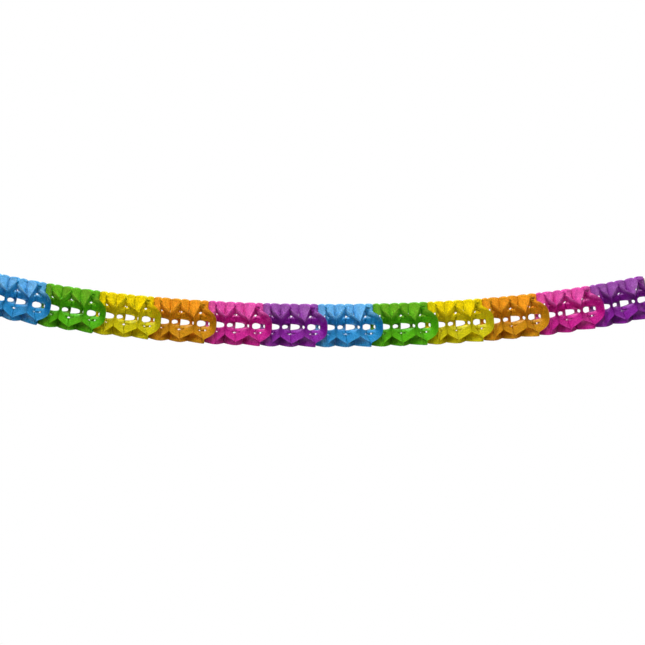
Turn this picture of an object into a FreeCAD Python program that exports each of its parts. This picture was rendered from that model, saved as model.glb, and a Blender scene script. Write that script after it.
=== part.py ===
import FreeCAD, Part
import math
import os
import Sketcher

# A tissue-paper garland, pulled out and hanging in a shallow curve between its two ends.
# Square leaves with scalloped edges and a round hole in the middle are glued one to the next,
# by turns at their four corners and at the middles of their four sides, so that the
# stack opens into cells like a honeycomb. Two leaves that share their corner glue are one solid here.
# Lengths are in millimetres. X runs along the garland, the front is towards -Y, Z is up,
# and the origin is where the hanging hole of the left end card opens outwards.

COLOURS = ["blue", "green", "yellow", "orange", "pink", "purple"]

# The four sides of a leaf, and the corner that follows each of them on the way round.
SIDES = ["front", "top", "back", "bottom"]
CORNERS = ["front_top", "back_top", "back_bottom", "front_bottom"]

SIZES = {
    # The run of colours and the curve
    "colour_rounds": 2,  # how often the six colours follow each other
    "cells_per_colour": 3,  # leaf pairs of one colour
    "cell_length": 56.7,  # along the garland, from one ring of side glue to the next
    "measured_span": 2000.0,  # the width over which the sag is measured
    "sag_depth": 91.0,  # lowest point below the two ends of that width
    "end_steepness": 0.19,  # share of the sag that comes in towards the ends

    # One leaf
    "leaf_width": 131.0,  # over the crests of the scallops
    "scallop_depth": 4.5,
    "corner_cut": 15.5,  # leg of the cut-off corner
    "side_glue_width": 40.0,  # glued stretch at the middle of a side
    "centre_hole_diameter": 27.0,
    "centre_hole_drop": 6.0,  # how far the hole sags below the leaf's middle
    "slack_at_hole": 4.2,  # how far a leaf leaves the ring of side glue at the hole
    "bulge_share": 0.72,  # fullness of the loose front of a colour's last leaf, 0.5 is straight
    "paper_thickness": 0.3,  # stands for tissue of about 0.04

    # The end cards
    "card_inset": 1.0,  # from the low points of the scallops to the card's edge
    "card_thickness": 0.8,
    "card_corner_radius": 12.0,
    "hanging_hole_diameter": 6.0,
}

# How far each glue spot is pulled along the garland from its even place, in each colour:
# three rings of side glue, the first at the change of colour, and three rows of corner glue.
# A side has a second pull for the leaf's place at the hole, before the slack is added.
PULLS = {
    "front": (27.0, -1.0, 17.0),
    "top": (0.0, -4.0, -3.0),
    "back": (-8.0, 23.0, 3.0),
    "bottom": (-7.0, -4.0, -3.0),
    "front_hole": (10.6, -1.0, 20.0),
    "top_hole": (0.0, -4.0, -3.0),
    "back_hole": (-3.0, 24.5, 4.5),
    "bottom_hole": (-7.0, -4.0, -3.0),
    "front_top": (-7.0, -3.0, 4.0),
    "back_top": (-7.0, -3.0, 4.0),
    "back_bottom": (0.0, 4.0, 0.0),
    "front_bottom": (0.0, 4.0, 21.0),
}

doc = FreeCAD.newDocument("tissue_garland")

sheet = doc.addObject("Spreadsheet::Sheet", "sizes")
cells = dict(SIZES)
for spot, pulls in PULLS.items():
    for place, pull in enumerate(pulls, start=1):
        cells[f"{spot}_pull_{place}"] = pull
for row, (alias, value) in enumerate(cells.items(), start=1):
    sheet.set(f"A{row}", alias.replace("_", " "))
    sheet.set(f"B{row}", str(value))
    sheet.setAlias(f"B{row}", alias)
doc.recompute()


def size(alias):
    return float(sheet.get(alias))


cell_count = round(size("colour_rounds")) * len(COLOURS) * round(size("cells_per_colour"))
cells_per_colour = round(size("cells_per_colour"))
garland_length = cell_count * size("cell_length")
paper = size("paper_thickness")
leaf_half = size("leaf_width") / 2
valley_half = leaf_half - size("scallop_depth")
glue_half = size("side_glue_width") / 2
corner_reach = valley_half - size("corner_cut")
crest_reach = (glue_half + corner_reach) / 2
hole_radius = size("centre_hole_diameter") / 2


def hang_curve():
    # Height over the lowest point: sag * ((1 - e) * u^2 + e * u^4), with u = x / half the measured
    # span and e the end steepness. A curve with five poles holds it exactly.
    half = garland_length / 2
    ratio = half / (size("measured_span") / 2)
    square = size("sag_depth") * (1 - size("end_steepness")) * ratio ** 2
    fourth = size("sag_depth") * size("end_steepness") * ratio ** 4
    heights = [square + fourth, -fourth, fourth - square / 3, -fourth, square + fourth]
    poles = [FreeCAD.Vector(half * (step - 2) / 2, 0, height) for step, height in enumerate(heights)]
    curve = Part.BezierCurve()
    curve.setPoles(poles)
    return curve.toShape()


hang_line = doc.addObject("Part::Feature", "hang_line")
hang_line.Label = "hang_line"
hang_line.Shape = hang_curve()


def hang_frame(station):
    # Centre, direction of the run and upward direction, at a station along the curve that
    # counts from its lowest point.
    edge = hang_line.Shape.Edges[0]
    parameter = edge.getParameterByLength(edge.Length / 2 + station)
    run = edge.tangentAt(parameter)
    return edge.valueAt(parameter), run, FreeCAD.Vector(-run.z, 0, run.x)


left_centre, left_run, left_up = hang_frame(-garland_length / 2)
origin = left_centre - left_run * size("card_thickness")


def ring_station(ring, spot):
    # Side glue number ring of a leaf's side. The end rings lie flat on the end cards.
    even = ring * size("cell_length") - garland_length / 2
    if ring in (0, cell_count):
        return even
    return even + size(f"{spot}_pull_{ring % cells_per_colour % 3 + 1}")


def hole_station(cell, ring, spot):
    # The same side where it ends at the hole: there the leaf has left the glue by the slack
    if ring in (0, cell_count):
        return ring_station(ring, spot)
    slack = size("slack_at_hole")
    return ring_station(ring, spot) + (slack if ring == cell else -slack)


def row_station(cell, corner):
    # Corner glue in the middle of a cell
    even = (cell + 0.5) * size("cell_length") - garland_length / 2
    return even + size(f"{corner}_pull_{cell % cells_per_colour % 3 + 1}")


def leaf_points():
    # Every corner of the leaf's facets by name, as its place across the garland and the spots
    # that carry it: one spot, or two for a crest, which lies between them.
    outward = [FreeCAD.Vector(0, -1, 0), FreeCAD.Vector(0, 0, 1), FreeCAD.Vector(0, 1, 0), FreeCAD.Vector(0, 0, -1)]
    hole_centre = FreeCAD.Vector(0, 0, -size("centre_hole_drop"))
    points = {}
    for turn, side in enumerate(SIDES):
        out = outward[turn]
        on = outward[(turn + 1) % 4]
        before, after = CORNERS[turn - 1], CORNERS[turn]
        inner = hole_centre + out * hole_radius
        points[side, "inner"] = (inner, [side + "_hole"])
        points[side, "hold"] = ((inner + out * valley_half) / 2, [side])
        points[side, "glue", before] = (out * valley_half - on * glue_half, [side])
        points[side, "glue", after] = (out * valley_half + on * glue_half, [side])
        points[side, "crest", before] = (out * leaf_half - on * crest_reach, [side, before])
        points[side, "crest", after] = (out * leaf_half + on * crest_reach, [side, after])
        points[side, "end", before] = (out * valley_half - on * corner_reach, [before])
        points[side, "end", after] = (out * valley_half + on * corner_reach, [after])
        points[after, "inner"] = (hole_centre + (out + on) * (hole_radius * math.sqrt(0.5)), [after])
    return points


def leaf_facets():
    # The facets that slope between side glue and corner glue, the flat glued ones of the sides
    # and those of the corners, and the two edges of the sheet, all as names of points.
    slopes, side_flats, corner_flats, rim, hole = [], [], [], [], []
    for turn, side in enumerate(SIDES):
        before, after = CORNERS[turn - 1], CORNERS[turn]
        following = SIDES[(turn + 1) % 4]
        side_flats.append([(side, "hold"), (side, "glue", before), (side, "glue", after)])
        corner_flats.append([(after, "inner"), (side, "end", after), (following, "end", after)])
        for corner in (before, after):
            glue, crest, end = (side, "glue", corner), (side, "crest", corner), (side, "end", corner)
            slopes.append([(side, "hold"), glue, crest])
            slopes.append([(side, "inner"), (side, "hold"), crest])
            slopes.append([(side, "inner"), crest, (corner, "inner")])
            slopes.append([(corner, "inner"), crest, end])
        rim += [(side, "end", before), (side, "crest", before), (side, "glue", before)]
        rim += [(side, "glue", after), (side, "crest", after), (side, "end", after)]
        hole += [(before, "inner"), (side, "inner")]
    return slopes, side_flats, corner_flats, rim, hole


POINTS = leaf_points()
SLOPES, SIDE_FLATS, CORNER_FLATS, RIM, HOLE = leaf_facets()


def facet(corners):
    return Part.Face(Part.makePolygon(corners + corners[:1]))


def leaf_skins(cell, ring):
    # Both faces of a leaf, as places of its points. The leaf runs from side glue number ring to
    # the corner glue of its cell, and its thickness stays on its own side of both.
    inward = 1 if ring == cell else -1
    last_of_colour = inward < 0 and ring % cells_per_colour == 0 and ring < cell_count
    skins = ({}, {})
    for name, (across, spots) in POINTS.items():
        if len(spots) == 2:
            bulging = last_of_colour and spots[0] == "front"
            side_share = size("bulge_share") if bulging else 0.5
            station = side_share * ring_station(ring, spots[0]) + (1 - side_share) * row_station(cell, spots[1])
        elif spots[0] in CORNERS:
            side_share, station = 0, row_station(cell, spots[0])
        elif spots[0] in SIDES:
            side_share, station = 1, ring_station(ring, spots[0])
        else:
            side_share, station = 1, hole_station(cell, ring, spots[0])
        centre, run, up = hang_frame(station)
        place = centre - origin + FreeCAD.Vector(0, across.y, 0) + up * across.z
        middle = inward * (side_share - 0.5) * paper
        for skin, half in zip(skins, (-0.5, 0.5)):
            skin[name] = place + run * (middle + half * paper)
    return skins


def leaf_faces(cell, ring):
    # All faces of a leaf but the corner ones that are glued to the other leaf of the cell
    low, high = leaf_skins(cell, ring)
    glued, free = (high, low) if ring == cell else (low, high)
    faces = []
    for skin in (low, high):
        for names in SLOPES + SIDE_FLATS:
            faces.append(facet([skin[name] for name in names]))
    for names in CORNER_FLATS:
        faces.append(facet([free[name] for name in names]))
    for loop in (RIM, HOLE):
        for first, second in zip(loop, loop[1:] + loop[:1]):
            faces.append(facet([glued[first], glued[second], free[second]]))
            faces.append(facet([glued[first], free[second], free[first]]))
    return faces


def leaf_pair(cell):
    # Two leaves of a cell, joined at their corners
    solid = Part.makeSolid(Part.makeShell(leaf_faces(cell, cell) + leaf_faces(cell, cell + 1)))
    if solid.Volume < 0:
        solid.reverse()
    return solid


parts = []
for cell in range(cell_count):
    section, place = divmod(cell, cells_per_colour)
    rounds_done, colour = divmod(section, len(COLOURS))
    label = f"{COLOURS[colour]}_{rounds_done + 1}_leaf_pair_{place + 1}"
    pair = doc.addObject("Part::Feature", label)
    pair.Label = label
    pair.Shape = leaf_pair(cell)
    parts.append(pair)


def body_plane(body, role):
    return next(plane for plane in body.Origin.OriginFeatures if plane.Role == role)


def end_card(label):
    # A stiff square with rounded corners and one hole, as thick as the card along its own X
    body = doc.addObject("PartDesign::Body", label)
    body.Label = label

    outline = body.newObject("Sketcher::SketchObject", label + "_outline")
    outline.AttachmentSupport = [(body_plane(body, "YZ_Plane"), "")]
    outline.MapMode = "FlatFace"
    half = valley_half - size("card_inset")
    corners = [(-half, -half), (half, -half), (half, half), (-half, half)]
    for first, second in zip(corners, corners[1:] + corners[:1]):
        outline.addGeometry(Part.LineSegment(FreeCAD.Vector(*first, 0), FreeCAD.Vector(*second, 0)))
    for line in range(4):
        outline.addConstraint(Sketcher.Constraint("Coincident", line, 2, (line + 1) % 4, 1))
    for line in (0, 2):
        outline.addConstraint(Sketcher.Constraint("Horizontal", line))
        outline.addConstraint(Sketcher.Constraint("Vertical", line + 1))
    outline.addConstraint(Sketcher.Constraint("Symmetric", 0, 1, 1, 2, -1, 1))
    for name, kind in (("width", "DistanceX"), ("height", "DistanceY")):
        line = 0 if kind == "DistanceX" else 1
        index = outline.addConstraint(Sketcher.Constraint(kind, line, 1, line, 2, 2 * half))
        outline.renameConstraint(index, name)
        outline.setExpression(f"Constraints.{name}", "sizes.leaf_width - 2 * (sizes.scallop_depth + sizes.card_inset)")

    plate = body.newObject("PartDesign::Pad", label + "_plate")
    plate.Profile = outline
    plate.setExpression("Length", "sizes.card_thickness")
    doc.recompute()

    rounded = body.newObject("PartDesign::Fillet", label + "_rounded")
    long_edges = [
        f"Edge{number}"
        for number, edge in enumerate(plate.Shape.Edges, start=1)
        if abs(edge.tangentAt(edge.FirstParameter).x) > 0.5
    ]
    rounded.Base = (plate, long_edges)
    rounded.setExpression("Radius", "sizes.card_corner_radius")

    circle = body.newObject("Sketcher::SketchObject", label + "_circle")
    circle.AttachmentSupport = [(body_plane(body, "YZ_Plane"), "")]
    circle.MapMode = "FlatFace"
    circle.addGeometry(Part.Circle(FreeCAD.Vector(0, 0, 0), FreeCAD.Vector(0, 0, 1), 3))
    circle.addConstraint(Sketcher.Constraint("Coincident", 0, 3, -1, 1))
    index = circle.addConstraint(Sketcher.Constraint("Diameter", 0, 6))
    circle.renameConstraint(index, "hole")
    circle.setExpression("Constraints.hole", "sizes.hanging_hole_diameter")

    punched = body.newObject("PartDesign::Pocket", label + "_hole")
    punched.Profile = circle
    punched.Type = "ThroughAll"
    punched.Midplane = True
    return body


def along_run(centre, run):
    # The placement that turns X into the direction of the run
    turn = FreeCAD.Rotation(FreeCAD.Vector(1, 0, 0), run)
    return FreeCAD.Placement(centre, turn)


left_card = end_card("left_end_card")
left_card.Placement = along_run(FreeCAD.Vector(0, 0, 0), left_run)
right_centre, right_run, right_up = hang_frame(garland_length / 2)
right_card = end_card("right_end_card")
right_card.Placement = along_run(right_centre - origin, right_run)
parts += [left_card, right_card]

doc.recompute()
for item in doc.Objects:
    if "Invalid" in item.State or "Error" in item.State:
        raise RuntimeError(f"{item.Label} could not be worked out")
for item in parts:
    if item.Shape.isNull() or not item.Shape.isValid():
        raise RuntimeError(f"{item.Label} is not a sound solid")

os.makedirs("parts", exist_ok=True)
for item in parts:
    item.Shape.exportStep(f"parts/{item.Label}.step")

print(len(parts), "parts,", round(garland_length), "mm along the curve")
print("right card at", [round(value, 3) for value in right_card.Placement.Base])
print("right run", [round(value, 6) for value in right_run], "left run", [round(value, 6) for value in left_run])
print("pair volume", round(parts[4].Shape.Volume, 1), "solids", len(parts[4].Shape.Solids))
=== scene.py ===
import bpy
import numpy as np
import math
from mathutils import Matrix, Vector


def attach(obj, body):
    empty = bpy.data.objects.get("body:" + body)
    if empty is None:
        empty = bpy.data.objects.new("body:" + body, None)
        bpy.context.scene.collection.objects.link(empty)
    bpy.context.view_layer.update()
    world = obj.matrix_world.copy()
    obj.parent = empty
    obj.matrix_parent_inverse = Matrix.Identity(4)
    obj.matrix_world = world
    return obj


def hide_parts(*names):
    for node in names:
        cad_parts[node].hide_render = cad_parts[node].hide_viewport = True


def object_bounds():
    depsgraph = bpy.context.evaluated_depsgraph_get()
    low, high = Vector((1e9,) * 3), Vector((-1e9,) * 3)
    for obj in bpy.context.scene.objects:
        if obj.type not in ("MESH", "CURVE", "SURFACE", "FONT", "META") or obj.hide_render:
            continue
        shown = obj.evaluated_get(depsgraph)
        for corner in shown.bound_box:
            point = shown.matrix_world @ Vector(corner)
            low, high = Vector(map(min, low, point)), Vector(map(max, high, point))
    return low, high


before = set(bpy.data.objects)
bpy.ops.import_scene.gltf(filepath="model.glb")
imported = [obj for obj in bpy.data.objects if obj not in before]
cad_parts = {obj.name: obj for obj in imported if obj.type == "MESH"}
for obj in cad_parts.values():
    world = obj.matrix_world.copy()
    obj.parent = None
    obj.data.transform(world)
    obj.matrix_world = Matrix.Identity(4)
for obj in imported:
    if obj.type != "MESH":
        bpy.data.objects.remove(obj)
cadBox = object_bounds()

# A tissue-paper garland of six colours. Each leaf is a scalloped square sheet with a round middle
# hole and four punched holes, glued by turns at its corners and at the middles of its sides.

# The garland's run, in metres, as the solids have it
garland = dict(
    colours=["blue", "green", "yellow", "orange", "pink", "purple"],
    cells=36,
    cellsPerColour=3,
    cellLength=0.0567,
    halfSpan=1.0,  # half of the width over which the sag is measured
    sag=0.091,
    endSteepness=0.19,
    cardThickness=0.0008,
)

# One leaf, in metres
leaf = dict(
    half=0.0655,  # to the crests of the scallops
    squareness=8.0,  # power of the rounded square: 2 is a circle
    scallopDepth=0.0045,
    scallopPower=0.7,  # below 1 the crests are broad and the valleys sharp
    cornerDroop=0.003,  # how far the lower corners hang below the square
    middleHole=0.0135,  # radius
    middleDrop=0.006,  # how far the middle hole sags below the leaf's middle
    punchedHole=0.0048,  # radius
    punchedAt=0.0382,  # from the middle, on each diagonal
    punchedFade=1.3,  # radii outside a punched hole over which the grid turns square again
    thickness=0.00014,
    glueGap=0.00003,  # from a glue line's middle to the face of each leaf
    innerFlat=0.1,  # how far up the middle hole's edge a side stays level, 1 is at the corner
    innerBow=0.9,  # how much a side lags behind its corners at the middle hole
    glueStart=0.5,  # share of the way out from which the leaves are glued
    looseFade=1.5,  # power by which the looseness at the middle hole dies away towards the glue
    sideRelease=0.3,  # how far a glued side is drawn to the leaf's mean station at the middle hole
    softness=0.3,  # 0 folds at the glue's edge, 1 bends softly away from it
    puckerHeight=0.0011,
    puckerTurns=(7, 11, 17, 23, 31),  # waves round the middle
    puckerLean=60,  # radians a metre by which a wave may turn on its way out
    puckerSum=2.2,  # what the waves' sum is divided by, for a height of about 1
    columnsSide=16,  # from the middle of a side to the punched hole's width
    columnsHole=8,
    rowsInner=4,
    rowsHole=5,
    rowsOuter=8,
)

# How each glue spot lies in a colour: its pull along the garland in metres, and how far it reaches
# on either side of its middle as a share of the leaf's half side. Sides go front, top, back,
# bottom, one row for each ring of side glue, and the first ring is where the colour changes.
# Corners follow their sides. Each side has two bends, towards the corner before and after it:
# 1 leaves the glue straight, and more bows out, as the loose front of a colour's last leaf does.
glue = dict(
    sidePull=[
        [0.0295, 0.0, -0.008, -0.007],
        [-0.001, -0.004, 0.023, -0.004],
        [0.016, -0.003, 0.003, -0.003],
    ],
    innerPull=[  # the same at the middle hole
        [0.0106, 0.0, -0.003, -0.007],
        [-0.001, -0.004, 0.0245, -0.004],
        [0.020, -0.003, 0.0045, -0.003],
    ],
    sideBefore=[[0.0, 0.08, 0.30, 0.08], [0.50, 0.08, 0.32, 0.08], [0.48, 0.08, 0.32, 0.08]],
    sideAfter=[[0.0, 0.08, 0.30, 0.08], [0.38, 0.08, 0.32, 0.08], [0.20, 0.08, 0.32, 0.08]],
    bendBefore=[[3.0, 1, 1, 1], [1, 1, 1, 1], [1, 1, 1, 1]],
    bendAfter=[[2.1, 1, 1, 1], [1, 1, 1, 1], [1, 1, 1, 1]],
    cornerPull=[[-0.007, -0.007, 0.0, 0.0], [-0.003, -0.003, 0.004, 0.004], [0.004, 0.004, 0.0, 0.021]],
    punchedPull=[[-0.004, -0.004, 0.0, 0.0], [0.001, 0.001, 0.0, 0.0], [0.004, 0.004, 0.004, 0.006]],
    cornerWidth=[[0.12, 0.12, 0.15, 0.15], [0.12, 0.12, 0.15, 0.15], [0.12, 0.12, 0.15, 0.2]],
)


def hangFrames(stations):
    # Height over the lowest point is sag * ((1 - e) * u^2 + e * u^4), with u = x / halfSpan. The
    # stations count along the curve from its lowest point. Gives place, run and upward direction.
    g = garland
    x = np.linspace(-1.1, 1.1, 8001) * g["halfSpan"]
    u = x / g["halfSpan"]
    z = g["sag"] * ((1 - g["endSteepness"]) * u**2 + g["endSteepness"] * u**4)
    arc = np.concatenate([[0], np.cumsum(np.hypot(np.diff(x), np.diff(z)))])
    arc -= np.interp(0, x, arc)
    slope = g["sag"] / g["halfSpan"] * (2 * (1 - g["endSteepness"]) * u + 4 * g["endSteepness"] * u**3)
    xs, zs, slopes = (np.interp(stations, arc, values) for values in (x, z, slope))
    flat = np.zeros_like(xs)
    place = np.stack([xs, flat, zs], -1)
    run = np.stack([np.ones_like(xs), flat, slopes], -1) / np.hypot(1, slopes)[..., None]
    up = np.stack([-run[..., 2], flat, run[..., 0]], -1)
    return place, run, up


halfLength = garland["cells"] * garland["cellLength"] / 2
startPlace, startRun, startUp = hangFrames(np.array(-halfLength))
origin = startPlace - startRun * garland["cardThickness"]  # where the left hanging hole opens


def rimRadius(angle):
    # A rounded square, |y|^n + |z|^n = half^n, less scallops whose valleys lie at the middles of
    # the sides and at the upper corners: depth * (1 - |sin(pi * c)|^power), with c = 0 at a side
    # and 1 at a corner. The lower corners hang as one lobe from side to side, with half of c.
    n = leaf["squareness"]
    square = leaf["half"] / (np.abs(np.cos(angle)) ** n + np.abs(np.sin(angle)) ** n) ** (1 / n)
    turned = (angle + np.pi / 4) % (np.pi / 2) - np.pi / 4
    share = np.abs(np.tan(turned))
    low = np.sin(angle) < -0.05
    wave = np.abs(np.sin(np.pi * np.where(low, share / 2, share)))
    valley = leaf["scallopDepth"] * (1 - wave ** leaf["scallopPower"])
    return square - valley + leaf["cornerDroop"] * low * share**3


def leafPattern():
    # The flat leaf as a grid of rows and columns, its faces and the walls of its edges. The grid
    # opens into a circle at each punched hole: round it, a square ring of the grid is drawn in by
    # (larger / root sum of squares) of its two coordinates, which fades out over punchedFade radii.
    radius, at = leaf["punchedHole"], leaf["punchedAt"]
    holeAngle = radius / at
    side = np.linspace(0, np.pi / 4 - holeAngle, leaf["columnsSide"] + 1)[:-1]
    hole = np.linspace(np.pi / 4 - holeAngle, np.pi / 4 + holeAngle, leaf["columnsHole"] + 1)[:-1]
    rest = np.linspace(np.pi / 4 + holeAngle, np.pi / 2, leaf["columnsSide"] + 1)[:-1]
    quarter = np.concatenate([side, hole, rest])
    angle = np.concatenate([quarter + turn * np.pi / 2 for turn in range(4)])
    inner = np.linspace(leaf["middleHole"], at - radius, leaf["rowsInner"] + 1)[:-1]
    holed = np.linspace(at - radius, at + radius, leaf["rowsHole"] + 1)
    outer = np.linspace(0, 1, leaf["rowsOuter"] + 1)[1:]
    near = np.tile(np.concatenate([inner, holed])[:, None], (1, len(angle)))
    far = (at + radius) + outer[:, None] * (rimRadius(angle)[None, :] - at - radius)
    r = np.concatenate([near, far])
    a = np.tile(angle, (len(r), 1))

    turned = (a % (np.pi / 2)) - np.pi / 4
    across, out = turned * at / radius, (r - at) / radius
    larger = np.maximum(np.abs(across), np.abs(out))
    even = np.hypot(across, out) + 1e-9
    fade = np.clip((larger - 1) / leaf["punchedFade"], 0, 1)
    fade = fade * fade * (3 - 2 * fade)
    pull = (1 - fade) * larger / even + fade
    pull = np.where(larger < 1 - 1e-6, 1, pull)
    r = at + radius * out * pull
    a = a - turned + across * pull * radius / at

    rows, columns = r.shape
    index = np.arange(rows * columns).reshape(rows, columns)
    following = np.roll(index, -1, axis=1)
    faces = np.stack([index[:-1], following[:-1], following[1:], index[1:]], -1)
    inHole = np.zeros((rows - 1, columns), bool)
    firstRow, lastRow = leaf["rowsInner"], leaf["rowsInner"] + leaf["rowsHole"]
    for turn in range(4):
        first = turn * len(quarter) + leaf["columnsSide"]
        inHole[firstRow:lastRow, first:first + leaf["columnsHole"]] = True
    faces = faces[~inHole]

    edges = np.concatenate([faces[:, [k, (k + 1) % 4]] for k in range(4)])
    count = rows * columns
    key = edges[:, 0] * count + edges[:, 1]
    back = edges[:, 1] * count + edges[:, 0]
    rimEdges = edges[~np.isin(key, back)]
    start, end = rimEdges[:, 0], rimEdges[:, 1]
    walls = np.stack([end, start, start + count, end + count], -1)
    return r, a, faces, walls


pattern = leafPattern()


def glueValues(name, number):
    return np.array(glue[name][number % 3])


def ringStations(ring, pull):
    # Where a ring of side glue lies on the four sides. The end rings lie flat on the end cards.
    even = ring * garland["cellLength"] - halfLength
    return even + glueValues(pull, ring) * (0 < ring < garland["cells"])


def rowStations(cell, pull):
    # Where the corner glue in the middle of a cell lies on the four corners
    even = (cell + 0.5) * garland["cellLength"] - halfLength
    return even + glueValues(pull, cell)


def waves(r, a, seed):
    # Soft puckers that run out from the middle: a sum of seeded sines of angle and radius
    rng = np.random.default_rng(seed)
    total = np.zeros_like(r)
    first = leaf["puckerTurns"][0]
    for turns in leaf["puckerTurns"]:
        phase = rng.uniform(0, 2 * np.pi)
        lean = rng.uniform(-leaf["puckerLean"], leaf["puckerLean"])
        weight = rng.uniform(0.5, 1)
        total += weight * np.sin(turns * a + lean * r + phase) / math.sqrt(turns / first)
    return total / leaf["puckerSum"]


def leafSheet(cell, ring):
    # A leaf runs from side glue to corner glue with the angle round its middle: its station is
    # side + (corner - side) * g(c), where c is the tangent of the angle from the nearest side and g
    # rises from 0 to 1 between the edges of the two glued stretches, by a power that bows it.
    r, a, faces, walls = pattern
    side = np.round(a / (np.pi / 2)).astype(int) % 4
    turned = (a + np.pi / 4) % (np.pi / 2) - np.pi / 4
    corner = np.where(turned >= 0, side, (side - 1) % 4)
    c = np.abs(np.tan(turned))
    spread = np.clip((r - leaf["middleHole"]) / (rimRadius(a) - leaf["middleHole"]), 0, 1)
    after = turned >= 0
    rimFlat = np.where(after, glueValues("sideAfter", ring)[side], glueValues("sideBefore", ring)[side])
    bend = np.where(after, glueValues("bendAfter", ring)[side], glueValues("bendBefore", ring)[side])
    sideEdge = leaf["innerFlat"] + (rimFlat - leaf["innerFlat"]) * spread**0.5
    glued = np.clip((spread - leaf["glueStart"]) / (1 - leaf["glueStart"]), 0, 1)
    cornerEdge = 1 - glueValues("cornerWidth", cell)[corner] * glued
    loose = np.clip(1 - spread / leaf["glueStart"], 0, 1) ** leaf["looseFade"]
    ramp = np.clip((c - sideEdge) / (cornerEdge - sideEdge), 0, 1) ** (bend + leaf["innerBow"] * loose)
    soft = leaf["softness"] * ramp * ramp * (3 - 2 * ramp) + (1 - leaf["softness"]) * ramp

    # Near the middle hole the glue lets go: there the leaf lies a little flatter
    slack = np.where(bend > 1, 1 - spread, loose)
    rimStation = ringStations(ring, "sidePull")[side]
    innerStation = ringStations(ring, "innerPull")[side]
    sideStation = rimStation + (innerStation - rimStation) * slack
    outside = np.clip((r - leaf["punchedAt"]) / (rimRadius(a) - leaf["punchedAt"]), 0, 1)
    punchedStation = rowStations(cell, "punchedPull")[corner]
    endStation = rowStations(cell, "cornerPull")[corner]
    cornerStation = punchedStation + (endStation - punchedStation) * outside
    station = sideStation + (cornerStation - sideStation) * soft
    quarter = (cell + 0.5 - ring) * garland["cellLength"] / 2 * (0 < ring < garland["cells"])
    station = station + quarter * loose * leaf["sideRelease"] * (1 - soft)
    free = 4 * soft * (1 - soft)
    station = station + leaf["puckerHeight"] * free * waves(r, a, 97 * cell + ring) * spread
    place, run, up = hangFrames(station)
    inward = 1 if ring == cell else -1
    apart = leaf["thickness"] / 2 + leaf["glueGap"]
    offset = inward * (1 - 2 * soft) * apart
    inside = np.clip(1 - (r - leaf["middleHole"]) / (leaf["punchedAt"] - leaf["middleHole"]), 0, 1)
    y, z = -r * np.cos(a), r * np.sin(a) - leaf["middleDrop"] * inside
    middle = place - origin + up * z[..., None] + run * offset[..., None]
    middle[..., 1] += y
    half = run * leaf["thickness"] / 2
    points = np.concatenate([(middle + half).reshape(-1, 3), (middle - half).reshape(-1, 3)])
    count = r.size
    allFaces = np.concatenate([faces[:, ::-1], faces + count, walls[:, ::-1]])
    uv = np.stack([y.ravel(), z.ravel()], -1) / (2 * leaf["half"]) + 0.5
    return points, allFaces, np.concatenate([uv, uv]), len(walls)


def makeMesh(name, points, faces, uv, flat):
    mesh = bpy.data.meshes.new(name)
    mesh.vertices.add(len(points))
    mesh.vertices.foreach_set("co", points.astype(np.float32).ravel())
    mesh.loops.add(faces.size)
    mesh.loops.foreach_set("vertex_index", faces.astype(np.int32).ravel())
    mesh.polygons.add(len(faces))
    mesh.polygons.foreach_set("loop_start", np.arange(0, faces.size, 4, dtype=np.int32))
    mesh.polygons.foreach_set("use_smooth", ~flat)
    mesh.update(calc_edges=True)
    layer = mesh.uv_layers.new(name="leaf")
    layer.data.foreach_set("uv", uv[faces.ravel()].astype(np.float32).ravel())
    mesh.validate()
    return mesh


def makePair(cell):
    # The two leaves of a cell, which share their corner glue
    parts = [leafSheet(cell, cell), leafSheet(cell, cell + 1)]
    count = len(parts[0][0])
    points = np.concatenate([part[0] for part in parts])
    faces = np.concatenate([parts[0][1], parts[1][1] + count])
    uv = np.concatenate([parts[0][2], parts[1][2] + 1])
    flat = np.zeros(len(faces), bool)
    for k, part in enumerate(parts, start=1):
        end = k * len(part[1])
        flat[end - part[3]:end] = True
    section, place = divmod(cell, garland["cellsPerColour"])
    colourRound, colour = divmod(section, len(garland["colours"]))
    node = f"{garland['colours'][colour]}_{colourRound + 1}_leaf_pair_{place + 1}"
    name = node.replace("leaf_pair", "tissue_pair")
    piece = bpy.data.objects.new(name, makeMesh(name, points, faces, uv, flat))
    bpy.context.scene.collection.objects.link(piece)
    piece.data.materials.append(tissue[garland["colours"][colour]])
    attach(piece, "root")
    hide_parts(node)
    return piece


def linear(hexColour):
    # sRGB hex to linear red, green, blue and alpha
    values = np.array([int(hexColour[k:k + 2], 16) for k in (1, 3, 5)]) / 255
    low, high = values / 12.92, ((values + 0.055) / 1.055) ** 2.4
    return (*np.where(values <= 0.04045, low, high), 1.0)


def addNode(tree, kind, settings=None, inputs=None):
    node = tree.nodes.new(kind)
    for name, value in (settings or {}).items():
        setattr(node, name, value)
    for name, value in (inputs or {}).items():
        if isinstance(value, bpy.types.NodeSocket):
            tree.links.new(value, node.inputs[name])
        else:
            node.inputs[name].default_value = value
    return node


# Tissue paper dyed in the pulp: a cloud where the fibres lie thicker, a speckled grain of fibres, a
# faint sheen from calendering, and light that comes through from behind, paler than the face.
tissueLook = dict(
    colours=dict(  # of the paper's face
        blue="#1EA2E5",
        green="#68DD19",
        yellow="#E5E519",
        orange="#E5AD19",
        pink="#E51AA7",
        purple="#A81CBD",
    ),
    passing=dict(  # of the light that comes through it
        blue="#BBDCEA",
        green="#AAB36E",
        yellow="#EDD71E",
        orange="#EDBF6B",
        pink="#E5A9D2",
        purple="#C4A8C7",
    ),
    roughness=0.75,
    specular=0.12,
    through=0.55,  # share of the light that passes to the other side
    cloudSize=0.018,  # metres
    cloudDepth=0.12,  # share of the tone that it takes away where the paper is thin
    fibreSize=0.0045,  # real fibres are finer, drawn coarse enough to show
    fibreDepth=0.34,
    bumpStrength=0.4,
    bumpHeight=0.0005,
)


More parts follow.
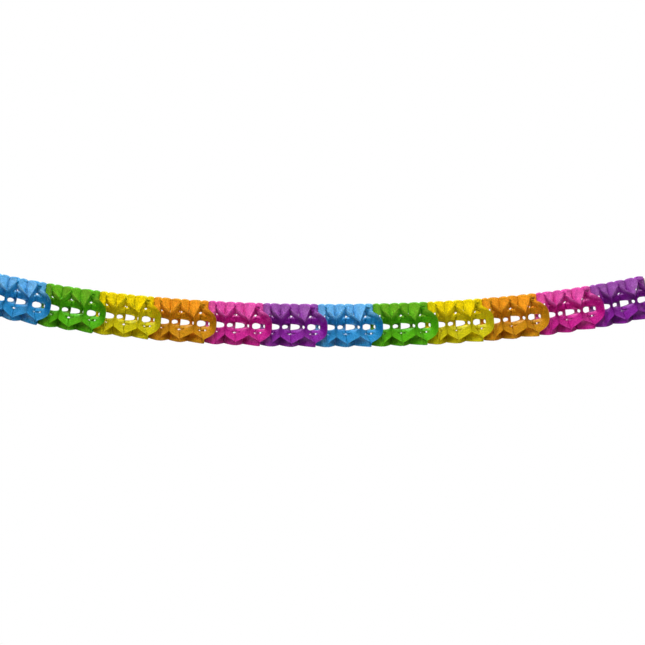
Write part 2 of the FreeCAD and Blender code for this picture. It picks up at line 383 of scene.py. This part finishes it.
def makeTissue(colourName):
    look = tissueLook
    material = bpy.data.materials.new(colourName + "_dyed_tissue_paper")
    material.use_nodes = True
    tree = material.node_tree
    tree.nodes.clear()
    output = addNode(tree, "ShaderNodeOutputMaterial")
    place = addNode(tree, "ShaderNodeTexCoord").outputs["Object"]
    fields, tones = [], []
    for name, detail in (("cloud", 3.0), ("fibre", 2.0)):
        noise = {"Vector": place, "Scale": 1 / look[name + "Size"], "Detail": detail}
        fields.append(addNode(tree, "ShaderNodeTexNoise", inputs=noise).outputs["Fac"])
        spread = {"Value": fields[-1], "From Min": 0.3, "From Max": 0.7, "To Min": 1 - look[name + "Depth"]}
        tones.append(addNode(tree, "ShaderNodeMapRange", inputs=spread).outputs["Result"])
    tone = addNode(tree, "ShaderNodeMath", {"operation": "MULTIPLY"}).outputs["Value"]
    for k in range(2):
        tree.links.new(tones[k], tone.node.inputs[k])
    colour, passing = (
        addNode(
            tree, "ShaderNodeVectorMath", {"operation": "SCALE"}, {"Vector": linear(value)[:3], "Scale": tone}
        ).outputs["Vector"]
        for value in (look["colours"][colourName], look["passing"][colourName])
    )
    grain = {"Height": fields[1], "Strength": look["bumpStrength"], "Distance": look["bumpHeight"]}
    bump = addNode(tree, "ShaderNodeBump", inputs=grain).outputs["Normal"]
    front = addNode(
        tree,
        "ShaderNodeBsdfPrincipled",
        inputs={
            "Base Color": colour,
            "Roughness": look["roughness"],
            "Specular IOR Level": look["specular"],
            "Normal": bump,
        },
    )
    behind = addNode(tree, "ShaderNodeBsdfTranslucent", inputs={"Color": passing, "Normal": bump})
    mixed = addNode(tree, "ShaderNodeMixShader", inputs={"Fac": look["through"]})
    tree.links.new(front.outputs["BSDF"], mixed.inputs[1])
    tree.links.new(behind.outputs["BSDF"], mixed.inputs[2])
    tree.links.new(mixed.outputs["Shader"], output.inputs["Surface"])
    return material


tissue = {name: makeTissue(name) for name in garland["colours"]}
print("tissue materials made")
for cell in range(garland["cells"]):
    makePair(cell)
print("leaf pairs made")


# Greyboard: pressed from recycled pulp, matte, with short fibres and darker specks
cardLook = dict(
    colour="#D9D3C4",
    speck="#B3AA97",
    fibreSize=0.0015,  # metres
    roughness=0.9,
    specular=0.3,
    bumpStrength=0.3,
    bumpHeight=0.0002,
)


def makeBoard():
    material = bpy.data.materials.new("pressed_greyboard")
    material.use_nodes = True
    tree = material.node_tree
    board = tree.nodes["Principled BSDF"]
    place = addNode(tree, "ShaderNodeTexCoord").outputs["Object"]
    noise = {"Vector": place, "Scale": 1 / cardLook["fibreSize"], "Detail": 4.0}
    specks = addNode(tree, "ShaderNodeTexNoise", inputs=noise).outputs["Fac"]
    share = addNode(
        tree, "ShaderNodeMapRange", inputs={"Value": specks, "From Min": 0.55, "From Max": 0.75}
    ).outputs["Result"]
    mix = addNode(tree, "ShaderNodeMix", {"data_type": "RGBA"}, {"Factor": share})
    mix.inputs[6].default_value = linear(cardLook["colour"])
    mix.inputs[7].default_value = linear(cardLook["speck"])
    tree.links.new(mix.outputs[2], board.inputs["Base Color"])
    board.inputs["Roughness"].default_value = cardLook["roughness"]
    board.inputs["Specular IOR Level"].default_value = cardLook["specular"]
    grain = {"Height": specks, "Strength": cardLook["bumpStrength"], "Distance": cardLook["bumpHeight"]}
    bump = addNode(tree, "ShaderNodeBump", inputs=grain)
    tree.links.new(bump.outputs["Normal"], board.inputs["Normal"])
    return material


board = makeBoard()
for node in ("left_end_card", "right_end_card"):
    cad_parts[node].data.materials.clear()
    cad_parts[node].data.materials.append(board)
print("end cards dressed")


# The room: a pale floor below, a white world for the camera, and soft lamps. Each lamp has its
# power, its width and depth, and its place from the garland's middle.
studio = dict(
    floorDepth=3.2,
    floorSize=6.0,
    floorColour="#F2F2F0",
    floorRoughness=0.9,
    worldAbove=0.3,
    worldBelow=0.1,
    lamps=dict(
        back_softbox=(800.0, (3.4, 1.0), (0.0, 2.7, 2.7)),
        front_softbox=(130.0, (3.4, 0.6), (0.0, -2.3, 1.0)),
    ),
)


def makeStudio():
    low, high = cadBox
    middle = (low + high) / 2
    size = studio["floorSize"] / 2
    z = low.z - studio["floorDepth"]
    mesh = bpy.data.meshes.new("floor")
    corners = [(-size, -size), (size, -size), (size, size), (-size, size)]
    mesh.from_pydata([(middle.x + x, middle.y + y, z) for x, y in corners], [], [(0, 1, 2, 3)])
    floor = bpy.data.objects.new("floor", mesh)
    bpy.context.scene.collection.objects.link(floor)
    paint = bpy.data.materials.new("matte_floor_paint")
    paint.use_nodes = True
    coat = paint.node_tree.nodes["Principled BSDF"]
    coat.inputs["Base Color"].default_value = linear(studio["floorColour"])
    coat.inputs["Roughness"].default_value = studio["floorRoughness"]
    mesh.materials.append(paint)

    world = bpy.data.worlds.new("studio")
    bpy.context.scene.world = world
    world.use_nodes = True
    tree = world.node_tree
    tree.nodes.clear()
    seen = addNode(tree, "ShaderNodeLightPath").outputs["Is Camera Ray"]
    around = addNode(tree, "ShaderNodeTexCoord").outputs["Generated"]
    heading = addNode(tree, "ShaderNodeSeparateXYZ", inputs={"Vector": around}).outputs["Z"]
    lit = addNode(
        tree,
        "ShaderNodeMapRange",
        inputs={
            "Value": heading,
            "From Min": -0.2,
            "From Max": 0.6,
            "To Min": studio["worldBelow"],
            "To Max": studio["worldAbove"],
        },
    ).outputs["Result"]
    strength = addNode(tree, "ShaderNodeMapRange", inputs={"Value": seen, "To Min": lit, "To Max": 1.0})
    light = addNode(
        tree,
        "ShaderNodeBackground",
        inputs={"Color": (1.0, 1.0, 1.0, 1.0), "Strength": strength.outputs["Result"]},
    )
    output = addNode(tree, "ShaderNodeOutputWorld", inputs={"Surface": light.outputs["Background"]})

    for name, (power, (wide, deep), place) in studio["lamps"].items():
        lamp = bpy.data.lights.new(name, "AREA")
        lamp.shape = "RECTANGLE"
        lamp.size, lamp.size_y = wide, deep
        lamp.energy = power
        stand = bpy.data.objects.new(name, lamp)
        stand.location = middle + Vector(place)
        stand.rotation_euler = (middle - stand.location).to_track_quat("-Z", "Y").to_euler()
        bpy.context.scene.collection.objects.link(stand)


makeStudio()
print("studio set up")

# The camera: far off and nearly level. The photo's frame is 645 pixels wide, and the garland's
# middle lies a little left of its centre.
photo = dict(
    width=645,
    pixel=0.003085,  # metres at the garland
    middleAt=(318.0, 325.4),  # pixel where the garland's middle lies
    roll=0.28,  # degrees
    elevation=2.0,  # degrees
    distance=9.0,
    sensor=0.036,
)


def makeCamera():
    middle, run, up = hangFrames(np.array(0.0))
    middle = Vector(middle - origin)
    centre = photo["width"] / 2
    right = (centre - photo["middleAt"][0]) * photo["pixel"]
    over = (photo["middleAt"][1] - centre) * photo["pixel"]
    target = middle + Vector((right, 0, over))
    tilt = math.radians(photo["elevation"])
    camera = bpy.data.cameras.new("camera")
    camera.sensor_width = photo["sensor"] * 1000
    camera.lens = photo["sensor"] * 1000 * photo["distance"] / (photo["width"] * photo["pixel"])
    camera.clip_end = 60
    stand = bpy.data.objects.new("camera", camera)
    stand.location = target + Vector((0, -math.cos(tilt), math.sin(tilt))) * photo["distance"]
    facing = (target - stand.location).to_track_quat("-Z", "Y").to_matrix().to_4x4()
    turn = math.radians(photo["roll"])
    stand.rotation_euler = (facing @ Matrix.Rotation(turn, 4, "Z")).to_euler()
    bpy.context.scene.collection.objects.link(stand)
    bpy.context.scene.camera = stand


makeCamera()
print("camera set up")
bpy.context.scene.view_settings.view_transform = "Standard"
